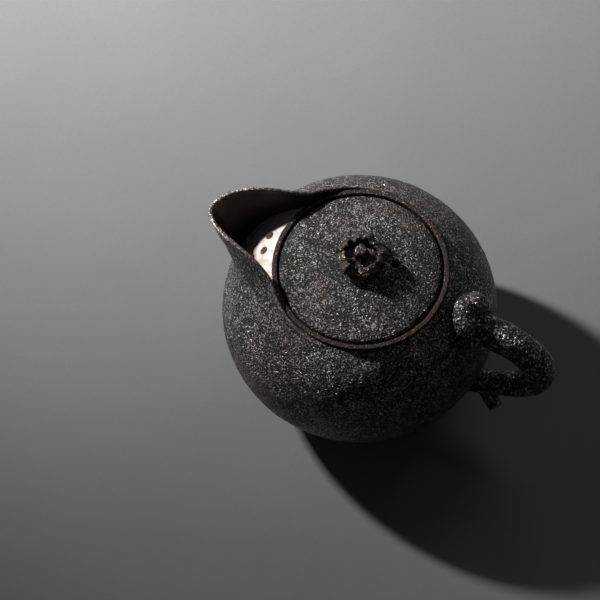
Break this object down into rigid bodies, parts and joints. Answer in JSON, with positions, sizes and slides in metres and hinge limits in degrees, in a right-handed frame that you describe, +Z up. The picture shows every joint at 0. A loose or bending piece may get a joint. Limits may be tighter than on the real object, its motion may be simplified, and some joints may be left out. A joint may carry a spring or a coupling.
{
  "type": "teapot",
  "caption": "Small round dark cast pouring pot with an open beak spout over a pierced strainer, a branch-shaped side handle and a lift-off domed lid with a rosette knob.",
  "frame": {"origin": "centre of the flat foot, on the pot's axis, at the surface that it stands on", "axes": "+Z up along the pot's axis, -X towards the spout, +X towards the handle"},
  "size_m": [0.1336, 0.1, 0.088],
  "materials": {
    "grained_iron": "coarse grained, dark grey to black with small bright flecks",
    "branch_iron": "lumpy grained, dark grey with rust-brown spots",
    "strainer_skin": "smooth pale grey-brown, satin",
    "rim_brown": "smooth worn brown, satin",
    "spout_brown": "smooth dark brown inside, grained outside",
    "rosette_brown": "folded leaves, rusty brown, dry",
    "fixing_iron": "dull forged"
  },
  "bodies": {
    "pot": {"pot_body": "grained_iron", "foot": "grained_iron", "strainer_wall": "strainer_skin", "seat_ring": "rim_brown", "spout_beak": "spout_brown", "handle_branch": "branch_iron", "handle_knot": "branch_iron", "handle_twig": "branch_iron"},
    "lid": {"lid_plate": "grained_iron", "lid_skirt": "rim_brown", "knob_base": "rosette_brown", "knob_leaves": "rosette_brown", "knob_bud": "rosette_brown", "knob_tang": "fixing_iron", "knob_washer": "fixing_iron"}
  },
  "joints": [
    {"name": "lid_lift", "type": "slide", "parent": "pot", "child": "lid", "axis": [0, 0, 1], "range_m": [0, 0.06]}
  ]
}
